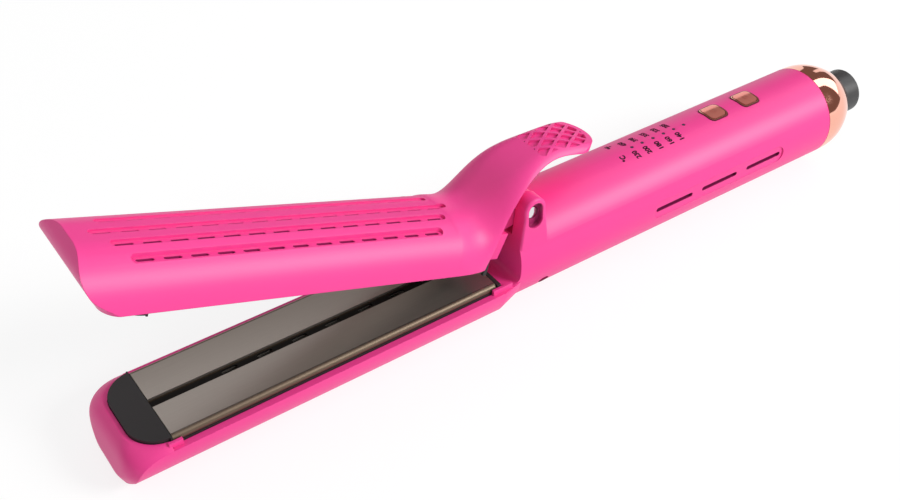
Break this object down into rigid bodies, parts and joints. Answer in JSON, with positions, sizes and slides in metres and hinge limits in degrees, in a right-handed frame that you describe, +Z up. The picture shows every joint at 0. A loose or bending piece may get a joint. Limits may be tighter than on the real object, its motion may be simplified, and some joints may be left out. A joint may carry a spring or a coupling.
{
  "type": "hair straightener",
  "caption": "Airflow hair straightener: round handle with a fixed lower plate arm, a sprung upper plate arm opened by a curved thumb lever, control buttons and a swivel cord outlet.",
  "frame": {"origin": "on the surface that the underside rests on, straight below the jaw hinge", "axes": "+X along the handle towards the cord end, the tips at -X; +Z up, from the lower arm to the upper arm; the hinge turns about Y"},
  "size_m": [0.3295, 0.0396, 0.0893],
  "materials": {
    "pink_shell": "satin",
    "rose_gold": "polished",
    "plate_coating": "satin ceramic coat",
    "carrier_plastic": "matt",
    "grey_plastic": "satin",
    "black_plastic": "matt",
    "steel": "brushed",
    "circuit_board": "satin",
    "light_guide": "clear",
    "capacitor_sleeve": "gloss",
    "heatsink": "matt",
    "filter_mesh": "woven",
    "ceramic": "matt",
    "mica": "satin"
  },
  "bodies": {
    "base": {"main_housing": "pink_shell", "bottom_cover": "pink_shell", "cover_screws": "steel", "chassis": "black_plastic", "control_board": "circuit_board", "power_switch": "black_plastic", "temperature_switch": "black_plastic", "led_lens": "light_guide", "power_bezel": "rose_gold", "temperature_bezel": "rose_gold", "power_board": "circuit_board", "filter_capacitor": "capacitor_sleeve", "triac_heatsink": "heatsink", "intake_filter_near": "filter_mesh", "intake_filter_far": "filter_mesh", "fan_frame": "black_plastic", "fan_motor": "steel", "tail_cap": "rose_gold", "swivel_retainer": "black_plastic", "hinge_pin": "steel", "torsion_spring": "steel", "lower_carrier": "carrier_plastic", "lower_plate": "plate_coating", "lower_air_strip": "carrier_plastic", "lower_heater_near": "ceramic", "lower_heater_far": "ceramic", "lower_mica": "mica", "lower_thermistor": "ceramic"},
    "upper_arm": {"upper_shell": "pink_shell", "upper_bracket": "pink_shell", "bracket_screws": "steel", "upper_carrier": "carrier_plastic", "upper_plate": "plate_coating", "upper_air_strip": "carrier_plastic", "upper_heater_near": "ceramic", "upper_heater_far": "ceramic", "upper_mica": "mica", "upper_thermistor": "ceramic"},
    "power_button": {"power_button": "rose_gold"},
    "temperature_button": {"temperature_button": "rose_gold"},
    "fan": {"fan_rotor": "black_plastic"},
    "cord_swivel": {"cord_swivel": "grey_plastic"}
  },
  "joints": [
    {"name": "jaw_hinge", "type": "hinge", "parent": "base", "child": "upper_arm", "pos_m": [0, 0, 0.0395], "axis": [0, 1, 0], "range_deg": [-20, 6], "stiffness_Nm_per_rad": 0.6, "springref_deg": -34.38},
    {"name": "power_button_press", "type": "slide", "parent": "base", "child": "power_button", "axis": [0, 0, -1], "range_m": [0, 0.0006], "stiffness_N_per_m": 600},
    {"name": "temperature_button_press", "type": "slide", "parent": "base", "child": "temperature_button", "axis": [0, 0, -1], "range_m": [0, 0.0006], "stiffness_N_per_m": 600},
    {"name": "fan_spin", "type": "hinge", "parent": "base", "child": "fan", "pos_m": [0.0293, 0, 0.018], "axis": [1, 0, 0], "continuous": true},
    {"name": "cord_swivel_spin", "type": "hinge", "parent": "base", "child": "cord_swivel", "pos_m": [0.168, 0, 0.018], "axis": [1, 0, 0], "continuous": true}
  ]
}
